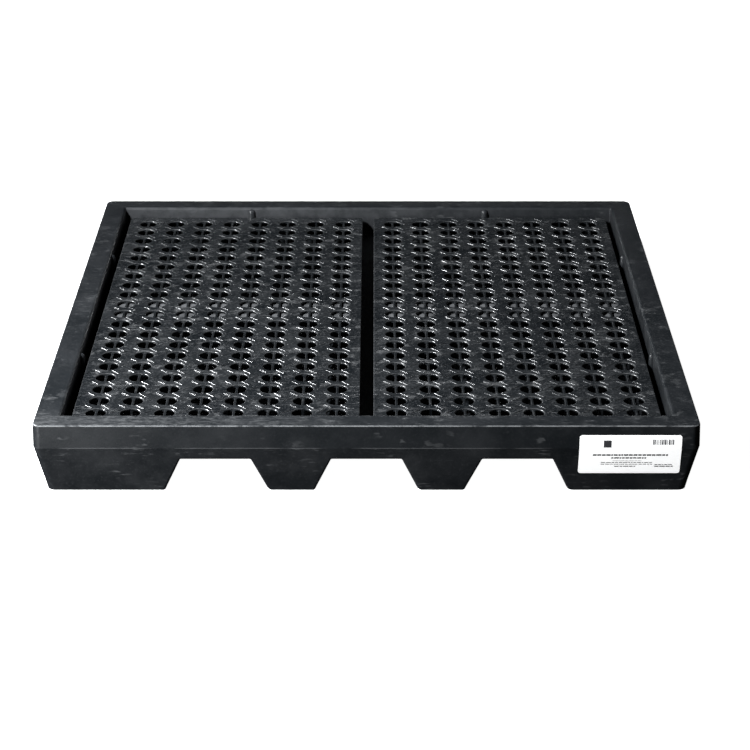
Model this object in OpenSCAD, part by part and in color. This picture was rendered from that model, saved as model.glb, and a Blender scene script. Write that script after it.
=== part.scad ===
// Low-profile spill containment pallet for four drums.
// A moulded sump tray with three fork tunnels carries two lift-out grates.
// Origin: centre of the footprint at floor level. +Z is up, -Y is the labelled front.

/* [Tray] */
// Width of the tray at its widest, the parting line
tray_w = 1295; // [1000:1:1700]
// Depth of the tray at its widest, the parting line
tray_d = 1295; // [1000:1:1700]
// Height of the rim above the floor
tray_h = 149; // [125:1:200]
// Thickness of every moulded wall of the tray
wall = 6; // [4:0.5:8]
// Width of the flat rim, from the outside to the inner wall
rim_w = 52; // [44:1:80]
// Height of the parting line, where the tray is widest
parting_z = 101; // [90:1:110]
// How far the outer wall leans in from the parting line to the rim, each side
rim_lean = 1.5; // [0:0.1:4]
// How far the outer wall tapers in from the parting line to the floor, each side
foot_taper = 20; // [5:1:24]
// Radius of the tray's vertical corners
corner_r = 16; // [12:1:40]
// How much of a grate's edge rests on the ledge around the basin
ledge_bearing = 11; // [8:1:25]

/* [Fork tunnels] */
// Height of the tunnels that the forks enter
tunnel_h = 74; // [60:1:90]
// Width of a tunnel at its roof
tunnel_top_w = 137; // [100:1:150]
// Width of a tunnel at the floor
tunnel_foot_w = 203; // [160:1:220]
// Distance between the centre lines of neighbouring tunnels
tunnel_pitch = 294; // [270:1:310]

/* [Locating lugs] */
// Diameter of the half-round lugs on the inner walls
lug_d = 16; // [8:1:20]
// Distance from each lug to the tray's centre line
lug_offset = 286; // [150:1:350]
// Depth of the top of a lug below the rim
lug_drop = 5; // [3:1:10]

/* [Grates] */
// Depth of the grates' top surface below the rim
deck_drop = 22; // [15:1:30]
// Gap between the two grates
middle_gap = 27; // [10:1:40]
// Clearance between a grate's side and the lugs that face it
side_clearance = 6; // [1:0.5:10]
// Clearance between a grate's end and the lugs that face it
end_clearance = 2.5; // [1:0.5:10]
// Thickness of the perforated deck
deck_t = 5; // [4:0.5:8]
// Thickness of the skirt around each grate
skirt_t = 5; // [4:0.5:8]
// Radius of a grate's corners
grate_corner_r = 10; // [6:1:20]

/* [Grate holes and ribs] */
// Diameter of the drain holes
hole_d = 40; // [25:1:48]
// Distance between hole centres across the grate
column_pitch = 68; // [60:0.1:80]
// Distance between hole centres along the grate
row_pitch = 56.8; // [54:0.1:70]
// Least distance from a hole centre to a grate's side
side_margin = 40; // [35:1:60]
// Least distance from a hole centre to a grate's end
end_margin = 30; // [30:1:60]
// Thickness of the ribs, which show as a bar across each hole
rib_t = 5; // [3:0.5:8]
// Depth of the ribs' top edge below the deck surface
bar_drop = 3; // [1:0.5:4]
// Height of the drain way below the cross ribs
drain_h = 12; // [6:1:18]
// Rows of holes between neighbouring cross ribs
rows_per_bay = 3; // [2:1:5]
// Depth of the closed panel under the middle rows
panel_drop = 9; // [7:0.5:10]
// Thickness of the closed panel under the middle rows
panel_t = 4; // [3:0.5:5]

/* [Label] */
// Distance from the rim down to the label's top edge
label_drop = 20; // [10:1:24]
// Height of the label
label_h = 87; // [60:1:100]
// Margin between the label and the sides of the foot it is centred on
label_margin = 17; // [5:1:60]
// Thickness of the label
label_t = 0.4; // [0.3:0.1:1]

/* [Hidden] */
$fn = 64;
cut = 10;                                   // how far cutting shapes run past a face
corner_steps = 8;                           // flats around each vertical corner of the tray
tray_colour = [0.16, 0.17, 0.18];
grate_colour = [0.22, 0.23, 0.24];
label_colour = [0.93, 0.93, 0.92];

well_w = tray_w - 2 * rim_w;                // the basin that the grates lie in
well_d = tray_d - 2 * rim_w;
side_gap = lug_d / 2 + side_clearance;      // between a grate and the tray's side wall
end_gap = lug_d / 2 + end_clearance;        // between a grate and the front or back wall
ledge_w = max(side_gap, end_gap) + ledge_bearing;
seat_z = tunnel_h + wall;                   // tunnel roofs and ledge, which carry the grates
deck_z = tray_h - deck_drop;                // top surface of the grates
lug_top_z = tray_h - lug_drop;

grate_w = (well_w - middle_gap) / 2 - side_gap;
grate_l = well_d - 2 * end_gap;
grate_h = deck_z - seat_z;
columns = floor((grate_w - 2 * side_margin) / column_pitch) + 1;
rows = floor((grate_l - 2 * end_margin) / row_pitch) + 1;
column_xs = [for (i = [0 : columns - 1]) (i - (columns - 1) / 2) * column_pitch];
row_ys = [for (i = [0 : rows - 1]) (i - (rows - 1) / 2) * row_pitch];
lift_columns = [column_xs[1], column_xs[columns - 2]];
lift_rows = [row_ys[0], row_ys[rows - 1]];
panel_rows = rows % 2 == 0 ? 2 : 3;         // middle rows with the closed panel below them
panel_l = panel_rows * row_pitch + rib_t;   // the panel ends under the cross ribs beside it
cross_rib_ys = [for (i = [panel_rows / 2 : rows_per_bay : rows / 2 - 1])
    each [-i * row_pitch, i * row_pitch]];

foot_left_x = tunnel_pitch + tunnel_foot_w / 2;   // the right-hand foot, at floor level
foot_right_x = tray_w / 2 - foot_taper;
label_w = foot_right_x - foot_left_x - 2 * label_margin;
label_above = tray_h - label_drop - parting_z;    // parts of the label above and below
label_below = label_h - label_above;              // the parting line

// ---------------------------------------------------------------- tray

// One level of the tray's outer form: a rounded rectangle of points at height z
function outline_ring(inset, r, z) = [
    for (quarter = [0 : 3], step = [0 : corner_steps])
        let (angle = 90 * (quarter + step / corner_steps),
             sx = (quarter == 0 || quarter == 3) ? 1 : -1,
             sy = quarter < 2 ? 1 : -1)
        [sx * (tray_w / 2 - inset - r) + r * cos(angle),
         sy * (tray_d / 2 - inset - r) + r * sin(angle), z]];

// The tray's outer form, set in by skin, from bottom_z up to top_z
module outer_form(skin, bottom_z, top_z) {
    r = corner_r - skin;
    bottom_inset = foot_taper * (parting_z - bottom_z) / parting_z;
    rings = [outline_ring(skin + bottom_inset, r, bottom_z),
             outline_ring(skin, r, parting_z),
             outline_ring(skin + rim_lean, r, top_z)];
    n = len(rings[0]);
    sides = [for (level = [0 : 1], i = [0 : n - 1])
        [for (corner = [[i, 0], [i, 1], [(i + 1) % n, 1], [(i + 1) % n, 0]])
            (level + corner[1]) * n + corner[0]]];
    caps = [[for (i = [0 : n - 1]) i], [for (i = [n - 1 : -1 : 0]) 2 * n + i]];
    polyhedron(points = [for (ring = rings) each ring], faces = concat(sides, caps));
}

module centred_box(w, d, z_low, z_high) {
    translate([-w / 2, -d / 2, z_low]) cube([w, d, z_high - z_low]);
}

// Outside of the basin: its walls and ledge, as a solid block
module basin_block() {
    centred_box(well_w + 2 * wall, well_d + 2 * wall, seat_z - wall, tray_h + cut);
    centred_box(well_w - 2 * ledge_w + 2 * wall, well_d - 2 * ledge_w + 2 * wall, -cut, seat_z);
}

// Inside of the basin, above its floor
module basin_space() {
    centred_box(well_w, well_d, seat_z, tray_h + cut);
    centred_box(well_w - 2 * ledge_w, well_d - 2 * ledge_w, wall, seat_z + cut);
}

// The hollow between the outer wall and the basin, open below
module rim_channel() {
    difference() {
        outer_form(wall, -cut, tray_h - wall);
        basin_block();
    }
}

// Trapezoid prisms along the fork tunnels, grown by skin and run from floor level
module tunnel_prisms(skin, bottom_z) {
    slope = (tunnel_foot_w - tunnel_top_w) / 2 / tunnel_h;
    side_skin = skin * sqrt(1 + slope * slope);
    top = tunnel_h + skin;
    half_top = tunnel_top_w / 2 + side_skin - skin * slope;
    half_bottom = tunnel_foot_w / 2 + side_skin - bottom_z * slope;
    for (i = [-1 : 1])
        translate([i * tunnel_pitch, tray_d / 2 + cut, 0])
            rotate([90, 0, 0])
                linear_extrude(tray_d + 2 * cut)
                    polygon([[-half_bottom, bottom_z], [half_bottom, bottom_z],
                             [half_top, top], [-half_top, top]]);
}

// One locating lug: a post half sunk in the wall, with a domed top
module lug() {
    dome_z = lug_top_z - lug_d / 2;
    translate([0, 0, seat_z - wall / 2]) cylinder(d = lug_d, h = dome_z - seat_z + wall / 2);
    translate([0, 0, dome_z]) sphere(d = lug_d);
}

// Lugs on the inner walls, kept inside the basin and the wall behind it
module lugs() {
    intersection() {
        union() {
            for (sx = [-1, 1], sy = [-1, 1]) {
                translate([sx * lug_offset, sy * well_d / 2, 0]) lug();
                translate([sx * well_w / 2, sy * lug_offset, 0]) lug();
            }
        }
        centred_box(well_w + wall, well_d + wall, 0, tray_h);
    }
}

module sump_tray() {
    color(tray_colour) {
        difference() {
            outer_form(0, 0, tray_h);
            difference() {
                union() {
                    rim_channel();
                    basin_space();
                }
                tunnel_prisms(wall, -2 * cut);
            }
            tunnel_prisms(0, -cut);
        }
        lugs();
    }
}

// ---------------------------------------------------------------- grates

module rounded_plate(w, l, r) {
    square([w - 2 * r, l], center = true);
    square([w, l - 2 * r], center = true);
    for (sx = [-1, 1], sy = [-1, 1])
        translate([sx * (w / 2 - r), sy * (l / 2 - r)]) circle(r = r);
}

module deck() {
    translate([0, 0, deck_z - deck_t])
        linear_extrude(deck_t)
            difference() {
                rounded_plate(grate_w, grate_l, grate_corner_r);
                for (x = column_xs, y = row_ys)
                    translate([x, y]) circle(d = hole_d);
            }
}

module skirt() {
    translate([0, 0, seat_z])
        linear_extrude(grate_h - deck_t / 2)
            difference() {
                rounded_plate(grate_w, grate_l, grate_corner_r);
                rounded_plate(grate_w - 2 * skirt_t, grate_l - 2 * skirt_t, grate_corner_r - skirt_t);
            }
}

// Ribs along the grate under each column of holes, interrupted at the lifting holes
module long_ribs() {
    difference() {
        for (x = column_xs)
            translate([x - rib_t / 2, -grate_l / 2 + skirt_t / 2, seat_z])
                cube([rib_t, grate_l - skirt_t, grate_h - bar_drop]);
        for (x = lift_columns, y = lift_rows)
            translate([x, y, seat_z - cut]) cylinder(d = hole_d, h = grate_h + 2 * cut);
    }
}

// Shallower ribs across the grate, clear of the tray so that liquid runs along the wells
module cross_ribs() {
    for (y = cross_rib_ys)
        translate([-grate_w / 2 + skirt_t / 2, y - rib_t / 2, seat_z + drain_h])
            cube([grate_w - skirt_t, rib_t, grate_h - drain_h - deck_t / 2]);
}

// The closed panel below the middle rows
module middle_panel() {
    translate([-grate_w / 2 + skirt_t / 2, -panel_l / 2, deck_z - panel_drop - panel_t])
        cube([grate_w - skirt_t, panel_l, panel_t]);
}

// One grate; side is -1 for the left one and 1 for the right one
module grate(side) {
    translate([side * (middle_gap + grate_w) / 2, 0, 0]) {
        deck();
        skirt();
        long_ribs();
        cross_ribs();
        middle_panel();
    }
}

module left_grate() {
    color(grate_colour) grate(-1);
}

module right_grate() {
    color(grate_colour) grate(1);
}

// ---------------------------------------------------------------- label

// A thin sheet on the front face, bent over the parting line
module product_label() {
    front_y = -tray_d / 2;
    upper_lean = rim_lean / (tray_h - parting_z);
    lower_lean = foot_taper / parting_z;
    top = [front_y + label_above * upper_lean, parting_z + label_above];
    middle = [front_y, parting_z];
    foot = [front_y + label_below * lower_lean, parting_z - label_below];
    out = [-label_t, 0];
    color(label_colour)
        translate([foot_left_x + label_margin, 0, 0])
            rotate([90, 0, 90])
                linear_extrude(label_w)
                    polygon([top, middle, foot, foot + out, middle + out, top + out]);
}

sump_tray();
left_grate();
right_grate();
product_label();
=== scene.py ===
"""A low-profile spill containment pallet: a moulded sump tray, two lift-out grates and a label.

Shapes are worked out in millimetres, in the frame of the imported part: the origin is the centre
of the footprint at floor level, +Z is up and -Y is the labelled front.
"""

import math
import random

import bpy
import numpy as np
from mathutils import Matrix, Vector


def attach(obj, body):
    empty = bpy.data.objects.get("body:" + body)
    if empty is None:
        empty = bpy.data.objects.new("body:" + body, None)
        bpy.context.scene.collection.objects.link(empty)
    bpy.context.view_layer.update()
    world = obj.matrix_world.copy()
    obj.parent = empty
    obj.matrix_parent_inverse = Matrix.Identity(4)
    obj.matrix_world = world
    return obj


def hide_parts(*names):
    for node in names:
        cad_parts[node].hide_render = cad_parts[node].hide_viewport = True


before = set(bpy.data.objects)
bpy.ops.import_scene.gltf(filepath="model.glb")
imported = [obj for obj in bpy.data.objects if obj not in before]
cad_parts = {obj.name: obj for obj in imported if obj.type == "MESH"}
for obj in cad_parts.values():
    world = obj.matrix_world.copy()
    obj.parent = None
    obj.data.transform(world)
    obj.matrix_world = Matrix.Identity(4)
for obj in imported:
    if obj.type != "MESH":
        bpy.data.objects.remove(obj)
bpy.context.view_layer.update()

MM = 0.001
random.seed(7)
scene = bpy.context.scene

# ---------------------------------------------------------------- sizes, in millimetres

# Tray
TRAY_W = TRAY_D = 1295
TRAY_H = 149
WALL = 6
RIM_W = 52
PARTING_Z = 101
RIM_LEAN = 1.5            # lean of the outer wall above the parting line
FOOT_TAPER = 20           # taper of the outer wall below it
CORNER_R = 16             # vertical corners
BOTTOM_CORNER_R = 17      # the same corners where they meet the floor
CORNER_EASE_Z = 22        # height below which they are eased
RIM_EDGE_R = 3            # fillet around the outside of the rim
BASIN_EDGE_R = 7          # fillet around the inside of the rim
BASIN_CORNER_R = 3
BASIN_FLOOR_R = 8         # where the wells' sides meet their floor
LEDGE_EDGE_R = 1.5        # where the basin's walls meet the ledge
CHANNEL_R = 10            # corners of the hollow under the rim: outer, and around the basin
CHANNEL_INNER_R = 8
BOTTOM_EDGE_R = 1.2
PARTING_EDGE = 0.9        # half height of the softened edge at the parting line
SEAT_Z = 80               # ledge and tunnel roofs, which carry the grates
LEDGE_W = 25
TUNNEL_H = 74
TUNNEL_TOP_W = 137
TUNNEL_FOOT_W = 203
TUNNEL_PITCH = 294
TUNNEL_EDGE_R = 5         # rounded edge where a tunnel meets the outer wall
TUNNEL_CORNER_R = 4       # rounded corners of a tunnel's roof
TUNNEL_BACK_R = 6         # the same on its outside, up in the basin
FOOT_EDGE = 6             # rounded left-hand edges of the feet along the tunnels
FOOT_EDGE_SHARP = 1       # their sharper right-hand edges
LUG_R = 8
LUG_DRAFT = 0.6           # how much wider a lug is at its foot
LUG_OFFSET = 286
LUG_TOP_Z = 144
LUG_SIDES = 24

# Grates
DECK_Z = 127
DECK_T = 5
GRATE_W = 568
GRATE_L = 1170
GRATE_X = 297.5
GRATE_CORNER_R = 10
GRATE_EDGE_R = 2.5        # fillet around the deck
SKIRT_T = 5
SKIRT_CHAMFER = 0.8       # around the foot of the skirt
HOLE_R = 20
HOLE_SIDES = 32
HOLE_CHAMFER = 0.6        # around a hole's underside
LIP_R = 3.0               # rolled edge around each hole
COLUMN_PITCH = 68
ROW_PITCH = 56.8
COLUMNS = 8
ROWS = 20
RIB_T = 5
RIB_EDGE_R = 1.6
WEB_HALF_W = 8            # half width of a bar's flare at a hole's lip
BAR_DROP = 3              # top of the ribs below the deck
DRAIN_H = 12
CROSS_RIB_ROWS = [1, 4, 7]
PANEL_DROP = 9
PANEL_T = 4

COLUMN_XS = [(i - (COLUMNS - 1) / 2) * COLUMN_PITCH for i in range(COLUMNS)]
ROW_YS = [(i - (ROWS - 1) / 2) * ROW_PITCH for i in range(ROWS)]
LIFT_COLUMNS = (1, COLUMNS - 2)
LIFT_ROWS = (0, ROWS - 1)

# Raised tread bars beside each hole: centre, length and angle in degrees
TREAD = [((16.9, 26.4), 26, -46), ((-17.5, -27.8), 21.5, -42), ((36, 5), 25, 41)]
TREAD_W = 4.6
TREAD_H = 1.5
SUNK = 0.8                # how far what stands on the deck goes down into it

# Moulding creases: points of one from the left end of its row, and half widths along it
CREASE = [(-10.5, -26), (-8.5, -17), (-5, -8), (-1, -3), (3, 0)]
CREASE_HALF_W = (0.5, 1.1, 1.3, 1.1, 0.5)
CREASE_H = 0.75           # height, for each millimetre of half width
CREASE_PLACE = (13, -24)  # from the grate's left edge, and from the row's middle

# Label
LABEL_X0 = 412.5
LABEL_W = 198
LABEL_TOP_Z = 129
LABEL_BOTTOM_Z = 42
LABEL_R = 5
LABEL_T = 0.32
PRINT_T = 0.06
# Print, from the label's top left corner: left end, right end, top and bottom
PRINT_SQUARE = (47, 62, 11, 26)
PRINT_STRIPES = (142, 181, 9, 20)
STRIPE_WIDTHS = (0.8, 1.2, 1.6, 2.4)
STRIPE_GAPS = (0.9, 1.3, 1.9)
# Rows of print: left end, right end, depth below the label's top, height
PRINT_ROWS = [(27, 173, 43.5, 3.6), (63, 131, 50.5, 3.2), (66, 124, 57.5, 1.2),
              (43, 144, 61.5, 1.6), (43, 144, 65.5, 1.6), (70, 112, 70.5, 2.0),
              (148, 184, 66.5, 1.8), (148, 184, 70.5, 2.4)]
PRINT_DASH = (3, 11)      # shortest and longest bar in a row
PRINT_GAP = 1.2

# ---------------------------------------------------------------- looks

# Painted shade: a darker tone laid on the outer walls above the parting line and on the bars below
# the deck
PAINTED_SHADE = (0.004, 0.005, 0.006)
# Painted light: a pale tone laid on the closed strip under the middle rows, seen through the holes
STRIP_PAINTED_LIGHT = (0.10, 0.103, 0.107)

# Plastic: its mottled tones, what scuffs and worn edges turn it to, how much of each, and the
# height in metres from which edges are worn
TRAY_LOOK = dict(dark=(0.0080, 0.0095, 0.0110), light=(0.0140, 0.0155, 0.0175),
                 scuff=(0.048, 0.050, 0.053), worn=(0.20, 0.205, 0.21), scuffing=0.40,
                 wear_from=0.140, wear=0.6, texture=0.45, rough=0.34, specular=0.5)
GRATE_LOOK = dict(dark=(0.0050, 0.0062, 0.0075), light=(0.0140, 0.0155, 0.0170),
                  scuff=(0.070, 0.073, 0.077), worn=(0.26, 0.265, 0.27), scuffing=0.60,
                  wear_from=0.120, wear=0.12, texture=0.65, rough=0.17, specular=0.9)
SCRATCHES = ((0.2, 900), (1.1, 700), (-0.75, 800))    # angle in radians, fineness

# The label's white glows a little, a painted glow that makes it read brighter than the lamps alone
LABEL_WHITE, LABEL_PAINTED_GLOW = (0.92, 0.92, 0.91), 0.5
LABEL_INK = (0.04, 0.04, 0.045)
WHITE = (1, 1, 1, 1)

# ---------------------------------------------------------------- studio, in metres

FLOOR_HALF = 12
FLOOR_GLOW = 1.0          # keeps the floor pale in the tunnels, as on a lit table
WORLD_STRENGTH = 0.008
LAMP_COLOUR = (0.96, 0.98, 1.0)
# Lamps: place, aim, size, watts, spread in degrees. The key is seen only in matt shading and
# the rake only in highlights.
LAMPS = {
    "key": ((-1.8, -1.3, 2.3), (-0.1, -0.45, 0.1), (0.4, 0.4), 136, 120),
    "rake": ((-2.16, -0.14, 1.16), (0, 0, 0.12), (0.45, 0.45), 105, 180),
    "fill": ((-2.2, -3.6, 0.6), (0, -0.3, 0.1), (1.4, 0.9), 12, 180),
    "low": ((-1.45, -1.85, 0.18), (-0.45, -0.65, 0.04), (1.0, 0.3), 30, 180),
    "rear": ((0.2, 3.2, 0.12), (0.1, 0.6, 0.1), (1.8, 0.2), 12, 180),
}
CAMERA_PLACE = (0.0167, -4.360, 1.927)
CAMERA_TILT = 65.78
CAMERA_LENS = 102.5
CAMERA_SENSOR = 36

# ---------------------------------------------------------------- mesh helpers


def level(points, z):
    """2-D points as 3-D points at height z."""
    points = np.asarray(points, float)
    return np.column_stack([points, np.full(len(points), float(z))])


def rounded_rect(w, d, r, steps=6, centre=(0, 0)):
    """Points counter-clockwise around a rectangle with rounded corners."""
    out = []
    for quarter, (sx, sy) in enumerate([(1, 1), (-1, 1), (-1, -1), (1, -1)]):
        for step in range(steps + 1):
            angle = math.pi / 2 * (quarter + step / steps)
            out.append((centre[0] + sx * (w / 2 - r) + r * math.cos(angle),
                        centre[1] + sy * (d / 2 - r) + r * math.sin(angle)))
    return np.array(out)


def circle(r, n, centre=(0, 0)):
    angles = np.arange(n) * 2 * math.pi / n
    return np.column_stack([centre[0] + r * np.cos(angles), centre[1] + r * np.sin(angles)])


def fillet(r, steps):
    """Pairs (across, along) of a quarter round: from (0, r) to (r, 0)."""
    return [(r * (1 - math.cos(a)), r * (1 - math.sin(a)))
            for a in np.linspace(0, math.pi / 2, steps + 1)]


def loft(rings):
    """A closed shell through rings of points, flat at both ends."""
    n = len(rings[0])
    faces = [[k * n + i, k * n + (i + 1) % n, (k + 1) * n + (i + 1) % n, (k + 1) * n + i]
             for k in range(len(rings) - 1) for i in range(n)]
    last = (len(rings) - 1) * n
    faces.append(list(range(n))[::-1])
    faces.append([last + i for i in range(n)])
    return np.concatenate(rings), faces


def slab(w, d, z_low, z_high, centre=(0, 0), r=0.0):
    """A block with rounded vertical corners, or square ones if r is 0."""
    if r:
        outline = rounded_rect(w, d, r, 4, centre)
    else:
        x, y = centre
        outline = [(x + sx * w / 2, y + sy * d / 2) for sx, sy in
                   [(1, 1), (-1, 1), (-1, -1), (1, -1)]]
    return loft([level(outline, z_low), level(outline, z_high)])


def solid(name, shells):
    """A mesh object from closed shells in millimetres."""
    points, faces, start = [], [], 0
    for shell_points, shell_faces in shells:
        points.append(np.asarray(shell_points, float))
        faces += [[start + i for i in face] for face in shell_faces]
        start += len(shell_points)
    mesh = bpy.data.meshes.new(name)
    mesh.from_pydata((np.concatenate(points) * MM).tolist(), [], faces)
    mesh.update()
    piece = bpy.data.objects.new(name, mesh)
    scene.collection.objects.link(piece)
    return piece


def combine(piece, shells, operation):
    """Adds closed shells to a piece, or cuts them from it, leaving one closed surface."""
    tool = solid("tool", shells)
    modifier = piece.modifiers.new("combine", "BOOLEAN")
    modifier.operation = operation
    modifier.solver = "MANIFOLD"
    modifier.object = tool
    bpy.context.view_layer.update()
    shape = bpy.data.meshes.new_from_object(
        piece.evaluated_get(bpy.context.evaluated_depsgraph_get()))
    piece.modifiers.clear()
    old, piece.data = piece.data, shape
    bpy.data.meshes.remove(old)
    bpy.data.meshes.remove(tool.data)


def take_shell(piece):
    """The closed surface of a piece that is no longer needed itself."""
    mesh = piece.data
    points = np.array([v.co for v in mesh.vertices]) / MM
    faces = [list(p.vertices) for p in mesh.polygons]
    bpy.data.meshes.remove(mesh)
    return points, faces


def shade(piece, sharp_angle=40):
    """Smooth shading with sharp edges kept, and flat faces kept flat next to fillets."""
    piece.data.shade_smooth()
    piece.data.set_sharp_from_angle(angle=math.radians(sharp_angle))
    weighted = piece.modifiers.new("weighted_normals", "WEIGHTED_NORMAL")
    weighted.keep_sharp = True
    weighted.weight = 80


def finish_piece(piece, name, body, slot, node, *materials):
    piece.name = piece.data.name = name
    piece.data.materials.clear()
    for material in materials:
        piece.data.materials.append(material)
    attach(piece, body)
    if node:
        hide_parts(node)


# ---------------------------------------------------------------- tray


def wall_inset(z):
    """How far the outer wall stands in from the parting line at height z."""
    if z > PARTING_Z:
        return RIM_LEAN * (z - PARTING_Z) / (TRAY_H - PARTING_Z)
    return FOOT_TAPER * (PARTING_Z - z) / PARTING_Z


def tray_ring(inset, z, r=CORNER_R):
    return level(rounded_rect(TRAY_W - 2 * inset, TRAY_D - 2 * inset, r, 8), z)


def tray_body():
    rings = []
    for across, up in [(b, a) for a, b in fillet(BOTTOM_EDGE_R, 4)]:
        r = BOTTOM_CORNER_R + (CORNER_R - BOTTOM_CORNER_R) * up / BOTTOM_EDGE_R * 0.4
        rings.append(tray_ring(wall_inset(up) + across, up, r))
    rings.append(tray_ring(wall_inset(CORNER_EASE_Z), CORNER_EASE_Z, CORNER_R + 2))
    for z in (PARTING_Z - PARTING_EDGE, PARTING_Z + PARTING_EDGE):
        rings.append(tray_ring(wall_inset(z), z))
    for across, down in fillet(RIM_EDGE_R, 4):
        z = TRAY_H - down
        rings.append(tray_ring(wall_inset(TRAY_H - RIM_EDGE_R) + across, z))
    return loft(rings)


def basin_rings(w, d, z_low, z_high, bottom_r):
    """Rings of a basin with a rounded bottom edge, up to z_high."""
    rings = [level(rounded_rect(w - 2 * a, d - 2 * a, max(BASIN_CORNER_R - a, 0.4), 4), z_low + b)
             for b, a in fillet(bottom_r, 3)]
    rings.append(level(rounded_rect(w, d, BASIN_CORNER_R, 4), z_high))
    return rings


def basin_shells():
    """The space inside the basin: above the ledge, and between the ledge and the floor."""
    w, d = TRAY_W - 2 * RIM_W, TRAY_D - 2 * RIM_W
    upper = basin_rings(w, d, SEAT_Z, TRAY_H - BASIN_EDGE_R, LEDGE_EDGE_R)[:-1]
    for out, down in fillet(BASIN_EDGE_R, 4):
        upper.append(level(rounded_rect(w + 2 * out, d + 2 * out, BASIN_CORNER_R, 4),
                           TRAY_H - down))
    out = BASIN_EDGE_R
    upper.append(level(rounded_rect(w + 2 * out, d + 2 * out, BASIN_CORNER_R, 4), TRAY_H + 20))
    lower = basin_rings(w - 2 * LEDGE_W, d - 2 * LEDGE_W, WALL, SEAT_Z + 5,
                        BASIN_FLOOR_R)
    return loft(upper), loft(lower)


def rim_channel_shells():
    """The hollow under the rim, open below, between the outer wall and the basin."""
    rings = [tray_ring(wall_inset(0) + WALL + 0.5, -10, CHANNEL_R)]
    for z in (0, PARTING_Z):
        rings.append(tray_ring(wall_inset(z) + WALL, z, CHANNEL_R))
    rings.append(tray_ring(wall_inset(TRAY_H) + WALL, TRAY_H - WALL, CHANNEL_R))
    w, d = TRAY_W - 2 * RIM_W + 2 * WALL, TRAY_D - 2 * RIM_W + 2 * WALL
    keep = slab(w, d, SEAT_Z - WALL, TRAY_H + 10, r=CHANNEL_INNER_R)
    inner = slab(w - 2 * LEDGE_W, d - 2 * LEDGE_W, -30, SEAT_Z, r=CHANNEL_INNER_R)
    return loft(rings), keep, inner


def tunnel_profile(skin, edge, bottom_z):
    """Half-rounded trapezoid (x, z), counter-clockwise seen from the front, grown by edge."""
    slope = (TUNNEL_FOOT_W - TUNNEL_TOP_W) / 2 / TUNNEL_H
    stretch = math.sqrt(1 + slope * slope)
    grow = skin + edge

    def half_width(z):
        return TUNNEL_TOP_W / 2 + (TUNNEL_H - z) * slope + grow * stretch

    top = TUNNEL_H + grow
    r = TUNNEL_BACK_R if skin else TUNNEL_CORNER_R
    lean = math.atan(slope)
    centre_x = half_width(top) - r * math.tan((math.pi / 2 - lean) / 2)

    def side(foot_edge):
        points = [(half_width(bottom_z), bottom_z)]
        if not skin:
            points = [(half_width(0) + foot_edge, bottom_z)]
            for t in (0, 0.25, 0.5, 0.75, 1):
                points.append((half_width(0) + foot_edge * ((1 - t) ** 2 - t * t * slope / stretch),
                               foot_edge * t * t / stretch))
        for step in range(5):
            angle = lean + (math.pi / 2 - lean) * step / 4
            points.append((centre_x + r * math.cos(angle), top - r + r * math.sin(angle)))
        return points

    return np.array(side(FOOT_EDGE) + [(-x, z) for x, z in side(FOOT_EDGE_SHARP)[::-1]])


def along_y(profile, y):
    """A profile of (x, z) points placed at y, which may be one number or one for each point."""
    ring = np.empty((len(profile), 3))
    ring[:, 0], ring[:, 1], ring[:, 2] = profile[:, 0], y, profile[:, 1]
    return ring[::-1]


def tunnel_cutters():
    """The three fork tunnels, with rounded edges where they meet the front and back walls."""
    rings = []
    flare = [(TUNNEL_EDGE_R, -30)] + [(g, d) for d, g in fillet(TUNNEL_EDGE_R, 3)]
    for side in (-1, 1):
        part = []
        for edge, depth in flare:
            profile = tunnel_profile(0, edge, -10)
            face = np.array([TRAY_D / 2 - wall_inset(max(z, 0)) for z in profile[:, 1]])
            part.append(along_y(profile, side * (face - depth)))
        rings += part if side < 0 else part[::-1]
    points, faces = loft(rings)
    return [(points + (i * TUNNEL_PITCH, 0, 0), faces) for i in (-1, 0, 1)]


def tunnel_skins():
    """The tunnels' outsides, which stand up in the basin and carry the grates."""
    profile = tunnel_profile(WALL, -0.02, -25)
    points, faces = loft([along_y(profile, -TRAY_D), along_y(profile, TRAY_D)])
    return [(points + (i * TUNNEL_PITCH, 0, 0), faces) for i in (-1, 0, 1)]


def lug_shells():
    """Half-round locating lugs on the basin's walls, with domed tops."""
    dome_z = LUG_TOP_Z - LUG_R
    rings = [level(circle(LUG_R + LUG_DRAFT, LUG_SIDES), SEAT_Z - 3),
             level(circle(LUG_R, LUG_SIDES), dome_z)]
    for angle in np.linspace(0, math.pi / 2, 7)[1:-1]:
        rings.append(level(circle(LUG_R * math.cos(angle), LUG_SIDES),
                           dome_z + LUG_R * math.sin(angle)))
    rings.append(level(circle(0.5, LUG_SIDES), LUG_TOP_Z - 0.02))
    points, faces = loft(rings)
    half_w, half_d = TRAY_W / 2 - RIM_W, TRAY_D / 2 - RIM_W
    shells = []
    for sx in (-1, 1):
        for sy in (-1, 1):
            for x, y, axis, side in ((sx * LUG_OFFSET, sy * half_d, 1, sy),
                                     (sx * half_w, sy * LUG_OFFSET, 0, sx)):
                lug = points.copy()
                lug[:, axis] = side * np.minimum(side * lug[:, axis], WALL / 2)
                shells.append((lug + (x, y, 0), faces))
    return shells


def make_tray():
    upper, lower = basin_shells()
    channel, keep, inner = rim_channel_shells()
    space = solid("space", [upper])
    combine(space, [lower], "UNION")
    under = solid("under", [channel])
    for kept in (keep, inner):
        combine(under, [kept], "DIFFERENCE")
    skins = tunnel_skins()
    combine(space, skins, "DIFFERENCE")
    combine(under, skins, "DIFFERENCE")
    tray = solid("tray", [tray_body()])
    for cutter in (space, under):
        combine(tray, [take_shell(cutter)], "DIFFERENCE")
    combine(tray, tunnel_cutters(), "DIFFERENCE")
    combine(tray, lug_shells(), "UNION")
    return tray


# ---------------------------------------------------------------- grates


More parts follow.
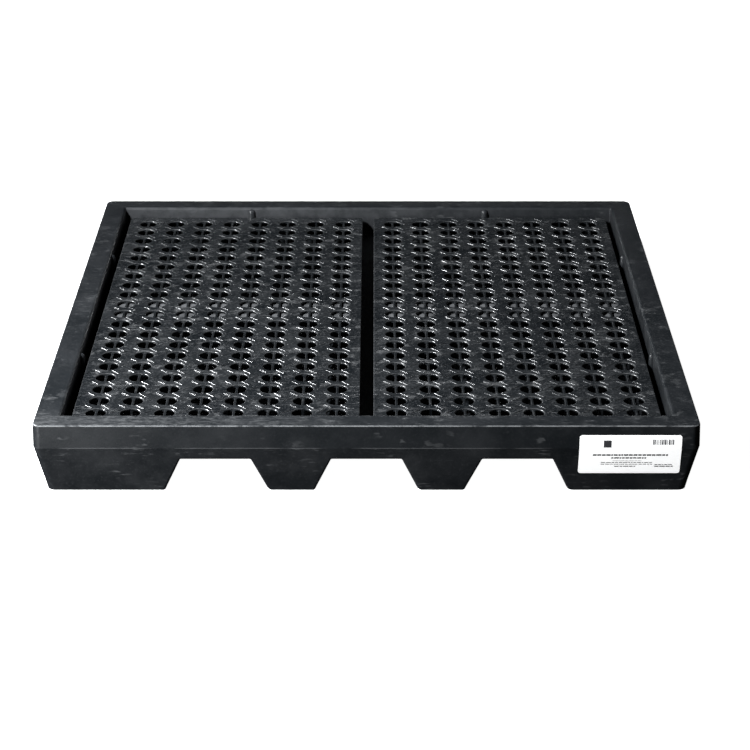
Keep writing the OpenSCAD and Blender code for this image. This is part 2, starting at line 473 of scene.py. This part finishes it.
def grate_body():
    c = SKIRT_CHAMFER
    rings = [level(rounded_rect(GRATE_W - 2 * c, GRATE_L - 2 * c, GRATE_CORNER_R - c, 5), SEAT_Z),
             level(rounded_rect(GRATE_W, GRATE_L, GRATE_CORNER_R, 5), SEAT_Z + c)]
    for across, down in fillet(GRATE_EDGE_R, 3):
        rings.append(level(rounded_rect(GRATE_W - 2 * across, GRATE_L - 2 * across,
                                        GRATE_CORNER_R - across, 5), DECK_Z - down))
    return loft(rings)


def grate_cavity():
    w, l = GRATE_W - 2 * SKIRT_T, GRATE_L - 2 * SKIRT_T
    r = GRATE_CORNER_R - SKIRT_T
    return loft([level(rounded_rect(w + 1, l + 1, r, 4), SEAT_Z - 10),
                 level(rounded_rect(w, l, r, 4), SEAT_Z + SKIRT_CHAMFER),
                 level(rounded_rect(w, l, r, 4), DECK_Z - DECK_T)])


def hole_cutter(x, y):
    """A round hole with a rolled top edge."""
    under = DECK_Z - DECK_T
    steps = [(HOLE_CHAMFER, under - 5), (HOLE_CHAMFER, under), (0, under + HOLE_CHAMFER)]
    steps += [(out, DECK_Z - down) for out, down in fillet(LIP_R, 4)]
    steps.append((LIP_R, DECK_Z + 5))
    return loft([level(circle(HOLE_R + out, HOLE_SIDES, (x, y)), z) for out, z in steps])


def tread_bar(centre, length, angle):
    """A low raised bar with rounded ends and edges, sunk a little into the deck."""
    turn = math.radians(angle)
    along = np.array([math.cos(turn), math.sin(turn)])
    across = np.array([-along[1], along[0]])
    rings = []
    for inset, z in [(0, -SUNK), (0.1, 0.35 * TREAD_H), (0.5, 0.8 * TREAD_H), (1.2, TREAD_H)]:
        r = TREAD_W / 2 - inset
        outline = rounded_rect(length - 2 * inset, 2 * r, r * 0.98, 3)
        rings.append(level(np.asarray(centre) + outline[:, :1] * along + outline[:, 1:] * across,
                           DECK_Z + z))
    return loft(rings)


def rib(x):
    """A rib along the grate under one column of holes, with a rounded top edge."""
    half, top = RIB_T / 2, DECK_Z - BAR_DROP
    right = [(half - 0.4, SEAT_Z + 0.02), (half, SEAT_Z + 0.5)]
    right += [(half - across, top - down) for down, across in fillet(RIB_EDGE_R, 3)[::-1]]
    profile = np.array(right + [(-u, z) for u, z in right[::-1]])
    end = GRATE_L / 2 - SKIRT_T / 2
    points, faces = loft([along_y(profile, -end), along_y(profile, end)])
    return points + (x, 0, 0), faces


def web(x, y, side):
    """The bar's flare where it meets a hole's lip."""
    reach = math.sqrt(HOLE_R ** 2 - WEB_HALF_W ** 2)
    half = [(2.3, HOLE_R - 8), (2.7, HOLE_R - 5), (3.8, HOLE_R - 2.8), (5.6, HOLE_R - 1.4),
            (WEB_HALF_W, reach + 0.6), (WEB_HALF_W, HOLE_R + 2)]
    outline = np.array(half + [(-u, v) for u, v in half[::-1]]) * (1, side)
    if side < 0:
        outline = outline[::-1]
    outline = outline + (x, y)
    return loft([level(outline, DECK_Z - DECK_T - 1), level(outline, DECK_Z - BAR_DROP - 0.7)])


def holes():
    return [(i, j, x, y) for i, x in enumerate(COLUMN_XS) for j, y in enumerate(ROW_YS)]


def is_lifting_hole(i, j):
    return i in LIFT_COLUMNS and j in LIFT_ROWS


def crease(x, y):
    """A low moulding crease that curves from in front of a row into the grate's left edge."""
    path = np.array(CREASE) + (x, y)
    along = np.gradient(path, axis=0)
    along /= np.linalg.norm(along, axis=1)[:, None]
    across = np.column_stack([-along[:, 1], along[:, 0]])
    rings = []
    for point, side, r in zip(path, across, CREASE_HALF_W):
        low, high = DECK_Z - SUNK, DECK_Z + CREASE_H * r
        rings.append(np.array([(*(point + side * r), low), (*(point + side * r / 2), high),
                               (*(point - side * r / 2), high), (*(point - side * r), low)]))
    return loft(rings)


def tread_shells():
    shells = []
    for i, j, x, y in holes():
        for (dx, dy), length, angle in TREAD:
            if dx > COLUMN_PITCH / 2 and i == COLUMNS - 1:
                continue
            shells.append(tread_bar((x + dx, y + dy), length, angle))
    return shells


def make_grate():
    """One grate, centred on x = 0."""
    grate = solid("grate", [grate_body()])
    combine(grate, [grate_cavity()], "DIFFERENCE")
    combine(grate, [hole_cutter(x, y) for _, _, x, y in holes()], "DIFFERENCE")
    ribs = solid("ribs", [rib(x) for x in COLUMN_XS])
    cuts = [loft([level(circle(HOLE_R, HOLE_SIDES, (COLUMN_XS[i], ROW_YS[j])), z)
                  for z in (SEAT_Z - 5, DECK_Z + 5)]) for i in LIFT_COLUMNS for j in LIFT_ROWS]
    combine(ribs, cuts, "DIFFERENCE")
    webs = [web(x, y, side) for i, j, x, y in holes() for side in (-1, 1)
            if not is_lifting_hole(i, j)]
    combine(ribs, webs, "UNION")
    combine(grate, [take_shell(ribs)], "UNION")
    cross = [slab(GRATE_W - SKIRT_T, RIB_T, SEAT_Z + DRAIN_H, DECK_Z - DECK_T / 2,
                  (0, side * k * ROW_PITCH)) for k in CROSS_RIB_ROWS for side in (-1, 1)]
    combine(grate, cross, "UNION")
    panel = slab(GRATE_W - SKIRT_T, 2 * ROW_PITCH + RIB_T - 0.2, DECK_Z - PANEL_DROP - PANEL_T,
                 DECK_Z - PANEL_DROP)
    combine(grate, [panel], "UNION")
    combine(grate, tread_shells(), "UNION")
    dx, dy = CREASE_PLACE
    combine(grate, [crease(-GRATE_W / 2 + dx, y + dy) for y in ROW_YS], "UNION")
    return grate


# ---------------------------------------------------------------- label


def front_face_y(z):
    return -TRAY_D / 2 + wall_inset(z)


def label_shell():
    """The label: a thin sheet with rounded corners."""
    centre = (LABEL_X0 + LABEL_W / 2, (LABEL_TOP_Z + LABEL_BOTTOM_Z) / 2)
    height = LABEL_TOP_Z - LABEL_BOTTOM_Z
    outline = [tuple(p) for p in rounded_rect(LABEL_W, height, LABEL_R, 5, centre)]
    right = [p for p in outline if p[0] > centre[0]]
    left = [p for p in outline if p[0] <= centre[0]]
    right.sort(key=lambda p: p[1])
    left.sort(key=lambda p: p[1])
    # left and right points at the same height, with a pair added where the face bends
    bend = ((LABEL_X0, PARTING_Z), (LABEL_X0 + LABEL_W, PARTING_Z))
    pairs = sorted(list(zip(left, right)) + [bend], key=lambda pair: pair[0][1])
    points, faces = [], []
    for (xa, za), (xb, zb) in pairs:
        for x, z in ((xa, za), (xb, zb)):
            y = front_face_y(z)
            points += [(x, y - LABEL_T, z), (x, y + 0.02, z)]
    n = len(pairs)
    for k in range(n - 1):
        a, b = 4 * k, 4 * (k + 1)
        faces += [[a, a + 2, b + 2, b], [a + 1, b + 1, b + 3, a + 3],
                  [a, b, b + 1, a + 1], [a + 2, a + 3, b + 3, b + 2]]
    faces += [[0, 1, 3, 2], [4 * n - 4, 4 * n - 2, 4 * n - 1, 4 * n - 3]]
    return np.array(points), faces


def print_bar(x0, x1, z0, z1):
    """A patch of ink on the label."""
    corners = [(x0, z0), (x1, z0), (x1, z1), (x0, z1)]
    points = [(x, front_face_y(z) - LABEL_T - PRINT_T, z) for x, z in corners]
    points += [(x, front_face_y(z) - LABEL_T + 0.05, z) for x, z in corners]
    faces = [[0, 1, 2, 3], [7, 6, 5, 4], [0, 4, 5, 1], [1, 5, 6, 2], [2, 6, 7, 3], [3, 7, 4, 0]]
    return np.array(points), faces


def print_shells():
    """Generic print with no lettering: a square patch, a bar pattern and rows of plain bars."""
    x0, top = LABEL_X0, LABEL_TOP_Z
    left, right, high, low = PRINT_SQUARE
    bars = [print_bar(x0 + left, x0 + right, top - low, top - high)]
    left, right, high, low = PRINT_STRIPES
    x = x0 + left
    while x < x0 + right:
        width = random.choice(STRIPE_WIDTHS)
        bars.append(print_bar(x, x + width, top - low, top - high))
        x += width + random.choice(STRIPE_GAPS)
    for left, right, down, height in PRINT_ROWS:
        x = x0 + left
        while x < x0 + right - 2:
            width = min(random.uniform(*PRINT_DASH), x0 + right - x)
            bars.append(print_bar(x, x + width, top - down - height / 2, top - down + height / 2))
            x += width + PRINT_GAP
    return bars


# ---------------------------------------------------------------- materials


class Nodes:
    """Short ways to build a material's nodes."""

    def __init__(self, name):
        self.material = bpy.data.materials.new(name)
        self.material.use_nodes = True
        self.tree = self.material.node_tree
        self.tree.nodes.clear()
        self.output = self.add("ShaderNodeOutputMaterial")
        self.shader = self.add("ShaderNodeBsdfPrincipled")
        self.link(self.shader.outputs["BSDF"], self.output.inputs["Surface"])
        self.coords = self.add("ShaderNodeTexCoord")

    def add(self, kind, **settings):
        node = self.tree.nodes.new(kind)
        for key, value in settings.items():
            setattr(node, key, value)
        return node

    def link(self, source, target):
        self.tree.links.new(source, target)

    def put(self, target, value):
        if isinstance(value, bpy.types.NodeSocket):
            self.link(value, target)
        else:
            target.default_value = value

    def math(self, operation, a, b=0.5):
        node = self.add("ShaderNodeMath", operation=operation)
        self.put(node.inputs[0], a)
        self.put(node.inputs[1], b)
        return node.outputs[0]

    def times(self, first, *others):
        """The product of sockets and numbers."""
        for other in others:
            first = self.math("MULTIPLY", first, other)
        return first

    def mapped(self, scale, rotation=(0, 0, 0)):
        node = self.add("ShaderNodeMapping")
        self.link(self.coords.outputs["Object"], node.inputs["Vector"])
        node.inputs["Scale"].default_value = scale
        node.inputs["Rotation"].default_value = rotation
        return node.outputs["Vector"]

    def noise(self, scale, detail=3, roughness=0.55, vector=None):
        node = self.add("ShaderNodeTexNoise")
        self.link(vector or self.coords.outputs["Object"], node.inputs["Vector"])
        node.inputs["Scale"].default_value = scale
        node.inputs["Detail"].default_value = detail
        node.inputs["Roughness"].default_value = roughness
        return node.outputs["Fac"]

    def ramp(self, value, low, high, to_low=0.0, to_high=1.0):
        node = self.add("ShaderNodeMapRange", clamp=True, interpolation_type="SMOOTHSTEP")
        self.put(node.inputs["Value"], value)
        for key, number in (("From Min", low), ("From Max", high),
                            ("To Min", to_low), ("To Max", to_high)):
            node.inputs[key].default_value = number
        return node.outputs["Result"]

    def mix(self, factor, a, b):
        node = self.add("ShaderNodeMix", data_type="RGBA")
        self.put(node.inputs["Factor"], factor)
        for index, value in ((6, a), (7, b)):
            if isinstance(value, tuple):
                value = (*value, 1.0)
            self.put(node.inputs[index], value)
        return node.outputs[2]

    def split(self, vector):
        node = self.add("ShaderNodeSeparateXYZ")
        self.link(vector, node.inputs[0])
        return node.outputs

    def bump(self, height, strength, distance, normal=None):
        node = self.add("ShaderNodeBump")
        node.inputs["Strength"].default_value = strength
        node.inputs["Distance"].default_value = distance
        self.link(height, node.inputs["Height"])
        if normal:
            self.link(normal, node.inputs["Normal"])
        return node.outputs["Normal"]


def tray_marks(n, colour, edge, upward, mottle, scuff, worn):
    """Marks on the tray only. Gives its colour, and how worn its edges are."""
    place = n.split(n.coords.outputs["Object"])
    facing = n.split(n.coords.outputs["Normal"])
    # edges are worn only around the outside of the rim
    outward = n.math("MAXIMUM", n.math("ABSOLUTE", place[0]), n.math("ABSOLUTE", place[1]))
    edge = n.times(edge, n.ramp(outward, 0.620, 0.634))
    # dust streaks on the front of the rim, towards the left
    streaks = n.ramp(n.noise(1, 8, 0.8, n.mapped((45, 130, 40))), 0.42, 0.72)
    dust = n.times(n.ramp(place[1], -0.570, -0.600), n.ramp(place[0], 0.10, -0.45), streaks,
                   upward, 0.36)
    colour = n.mix(dust, colour, worn)
    # the back wall of the basin where it faces the front, painted lighter and more so towards the
    # left: painted light
    back = n.times(n.ramp(place[1], 0.585, 0.592), n.ramp(facing[1], -0.3, -0.7),
                   n.ramp(n.noise(26, 4, 0.7), 0.36, 0.60, 0.35, 0.95),
                   n.ramp(place[0], 0.5, -0.3, 0.25, 1.0))
    colour = n.mix(back, colour, scuff)
    # clouds on the walls
    clouds = n.times(n.ramp(n.noise(11, 6, 0.65), 0.42, 0.72), n.ramp(facing[2], 0.5, 0.2), 0.35)
    colour = n.mix(clouds, colour, scuff)
    # outer walls above the parting line, painted darker: painted shade
    plain = n.times(n.ramp(facing[2], -0.15, -0.03), n.ramp(facing[2], 0.30, 0.15),
                    n.ramp(outward, 0.630, 0.636), 0.5)
    colour = n.mix(plain, colour, PAINTED_SHADE)
    # the mould's parting line, rubbed a little pale
    parting = n.math("ABSOLUTE", n.math("SUBTRACT", place[2], PARTING_Z * MM))
    parting = n.times(n.ramp(parting, 0.0013, 0.0006), n.ramp(mottle, 0.40, 0.55), 0.25)
    return n.mix(parting, colour, worn), edge


def grate_marks(n, colour, edge, upward, mottle, scuff, worn):
    """Marks on the grates only. Gives their colour, and how worn their edges are."""
    place = n.split(n.coords.outputs["Object"])
    # painted shade on the bars and everything below the deck
    colour = n.mix(n.times(n.ramp(place[2], 0.1252, 0.1240), 0.6), colour, PAINTED_SHADE)
    # painted light on the closed strip under the middle rows, where light through the holes falls
    # on it
    strip = n.math("ABSOLUTE", n.math("SUBTRACT", place[2], (DECK_Z - PANEL_DROP) * MM))
    strip = n.times(n.ramp(strip, 0.0008, 0.0004), upward, n.ramp(mottle, 0.35, 0.6, 0.5, 1.0))
    return n.mix(strip, colour, STRIP_PAINTED_LIGHT), edge


def moulded_plastic(name, marks, dark, light, scuff, worn, scuffing, wear_from, wear, texture,
                    rough, specular):
    """Black moulded polyethylene: mottled, grained, scratched, scuffed, worn pale at its edges."""
    n = Nodes(name)
    height = n.split(n.coords.outputs["Object"])[2]
    facing_up = n.split(n.coords.outputs["Normal"])[2]

    mottle = n.noise(9, 4, 0.6)
    colour = n.mix(n.ramp(mottle, 0.35, 0.68), dark, light)
    speck = n.ramp(n.noise(190, 6, 0.8), 0.51, 0.68)
    colour = n.mix(n.times(speck, texture), colour, scuff)

    # fine scratches, in patches
    scratches = None
    for angle, fineness in SCRATCHES:
        streak = n.noise(1, 2, 0.5, n.mapped((26, fineness, 60), (0, 0, angle)))
        line = n.ramp(streak, 0.64, 0.71)
        scratches = line if scratches is None else n.math("MAXIMUM", scratches, line)
    scratches = n.times(scratches, n.ramp(n.noise(14, 3, 0.6), 0.46, 0.68))
    colour = n.mix(n.times(scratches, scuffing), colour, worn)

    # whitish scuffs on what faces up
    upward = n.ramp(facing_up, 0.55, 0.95)
    rubbed = n.ramp(n.noise(1, 5, 0.75, n.mapped((48, 110, 60))), 0.55, 0.76)
    rubbed = n.times(rubbed, upward)
    colour = n.mix(n.times(rubbed, scuffing), colour, scuff)
    bruise = n.ramp(n.noise(30, 3, 0.6, n.mapped((1, 1.3, 1))), 0.56, 0.70)
    bruise = n.times(bruise, upward, n.ramp(speck, 0.0, 0.6, 0.3, 1.0), scuffing * 0.8)
    colour = n.mix(bruise, colour, worn)

    # edges worn pale, where the surface turns between up and sideways
    edge = n.times(n.ramp(facing_up, 0.10, 0.45), n.ramp(facing_up, 0.97, 0.80),
                   n.ramp(height, wear_from - 0.004, wear_from),
                   n.ramp(n.noise(30, 5, 0.7), 0.32, 0.54))
    colour, edge = marks(n, colour, edge, upward, mottle, scuff, worn)
    colour = n.mix(n.times(edge, wear), colour, worn)
    n.link(colour, n.shader.inputs["Base Color"])

    grain = n.noise(1100, 2, 0.5)
    gloss = n.math("ADD", n.ramp(mottle, 0.3, 0.7, rough, rough + 0.1), n.times(rubbed, 0.16))
    gloss = n.math("ADD", gloss, n.times(grain, 0.06))
    n.link(gloss, n.shader.inputs["Roughness"])
    n.shader.inputs["Specular IOR Level"].default_value = specular

    normal = n.bump(n.noise(330, 4, 0.6), texture * 0.5, 0.0008)
    normal = n.bump(grain, 0.25, 0.0002, normal)
    normal = n.bump(scratches, 0.4, 0.0002, normal)
    n.link(normal, n.shader.inputs["Normal"])
    return n.material


def label_paper(name, tone, painted_glow):
    """Printed film: a slightly uneven white with faint grime and a painted glow, or ink."""
    n = Nodes(name)
    grime = n.ramp(n.noise(38, 5, 0.65), 0.45, 0.80)
    darker = tuple(c * 0.86 for c in tone)
    n.link(n.mix(grime, tone, darker), n.shader.inputs["Base Color"])
    n.link(n.ramp(n.noise(90, 3), 0.3, 0.7, 0.32, 0.45), n.shader.inputs["Roughness"])
    # painted glow: the white gives off light of its own, though it is no lamp
    n.shader.inputs["Emission Color"].default_value = WHITE
    n.shader.inputs["Emission Strength"].default_value = painted_glow
    n.link(n.bump(n.noise(160, 3), 0.12, 0.0003), n.shader.inputs["Normal"])
    return n.material


def floor_material():
    n = Nodes("pale_floor")
    tone = n.ramp(n.noise(3, 3), 0.3, 0.7, 0.86, 0.88)
    n.link(tone, n.shader.inputs["Base Color"])
    n.shader.inputs["Roughness"].default_value = 0.7
    n.shader.inputs["Specular IOR Level"].default_value = 0.2
    n.shader.inputs["Emission Color"].default_value = WHITE
    n.shader.inputs["Emission Strength"].default_value = FLOOR_GLOW
    return n.material


# ---------------------------------------------------------------- the object

tray_plastic = moulded_plastic("tray_plastic", tray_marks, **TRAY_LOOK)
grate_plastic = moulded_plastic("grate_plastic", grate_marks, **GRATE_LOOK)
label_white = label_paper("label_white", LABEL_WHITE, LABEL_PAINTED_GLOW)
label_ink = label_paper("label_ink", LABEL_INK, 0.0)

tray = make_tray()
shade(tray)
finish_piece(tray, "sump_tray_moulding", "tray", "tray_plastic", "sump_tray", tray_plastic)

grate = make_grate()
for name, body, node, x in (("left_grate_moulding", "left_grate", "left_grate", -GRATE_X),
                            ("right_grate_moulding", "right_grate", "right_grate", GRATE_X)):
    mesh = grate.data.copy()
    mesh.transform(Matrix.Translation((x * MM, 0, 0)))
    piece = bpy.data.objects.new(name, mesh)
    scene.collection.objects.link(piece)
    shade(piece)
    finish_piece(piece, name, body, "grate_plastic", node, grate_plastic)
bpy.data.objects.remove(grate)

label = solid("label", [label_shell()])
shade(label, 20)
finish_piece(label, "label_sheet", "tray", "label_film", "product_label", label_white)

printing = solid("print", print_shells())
finish_piece(printing, "label_print", "tray", "label_film", None, label_ink)

# ---------------------------------------------------------------- floor, light, camera

floor_mesh = bpy.data.meshes.new("floor")
floor_mesh.from_pydata([(x * FLOOR_HALF, y * FLOOR_HALF, 0)
                        for x, y in ((-1, -1), (1, -1), (1, 1), (-1, 1))], [], [[0, 1, 2, 3]])
floor = bpy.data.objects.new("floor", floor_mesh)
scene.collection.objects.link(floor)
floor_mesh.materials.append(floor_material())
floor.visible_diffuse = floor.visible_glossy = False


def area_light(name, place, aim, size, power, spread):
    lamp = bpy.data.lights.new(name, "AREA")
    lamp.shape = "RECTANGLE"
    lamp.size, lamp.size_y = size
    lamp.energy = power
    lamp.color = LAMP_COLOUR
    lamp.spread = math.radians(spread)
    holder = bpy.data.objects.new(name, lamp)
    scene.collection.objects.link(holder)
    holder.location = place
    holder.rotation_euler = (Vector(aim) - Vector(place)).to_track_quat("-Z", "Y").to_euler()
    return holder


lamps = {name: area_light(name, *settings) for name, settings in LAMPS.items()}
lamps["key"].visible_glossy = False
lamps["rake"].visible_diffuse = False

world = bpy.data.worlds.new("studio")
world.use_nodes = True
background = world.node_tree.nodes["Background"]
background.inputs["Color"].default_value = WHITE
background.inputs["Strength"].default_value = WORLD_STRENGTH
scene.world = world
scene.view_settings.view_transform = "Standard"

camera = bpy.data.cameras.new("camera")
camera.lens = CAMERA_LENS
camera.sensor_width = CAMERA_SENSOR
camera_holder = bpy.data.objects.new("camera", camera)
scene.collection.objects.link(camera_holder)
camera_holder.location = CAMERA_PLACE
camera_holder.rotation_euler = (math.radians(CAMERA_TILT), 0, 0)
scene.camera = camera_holder
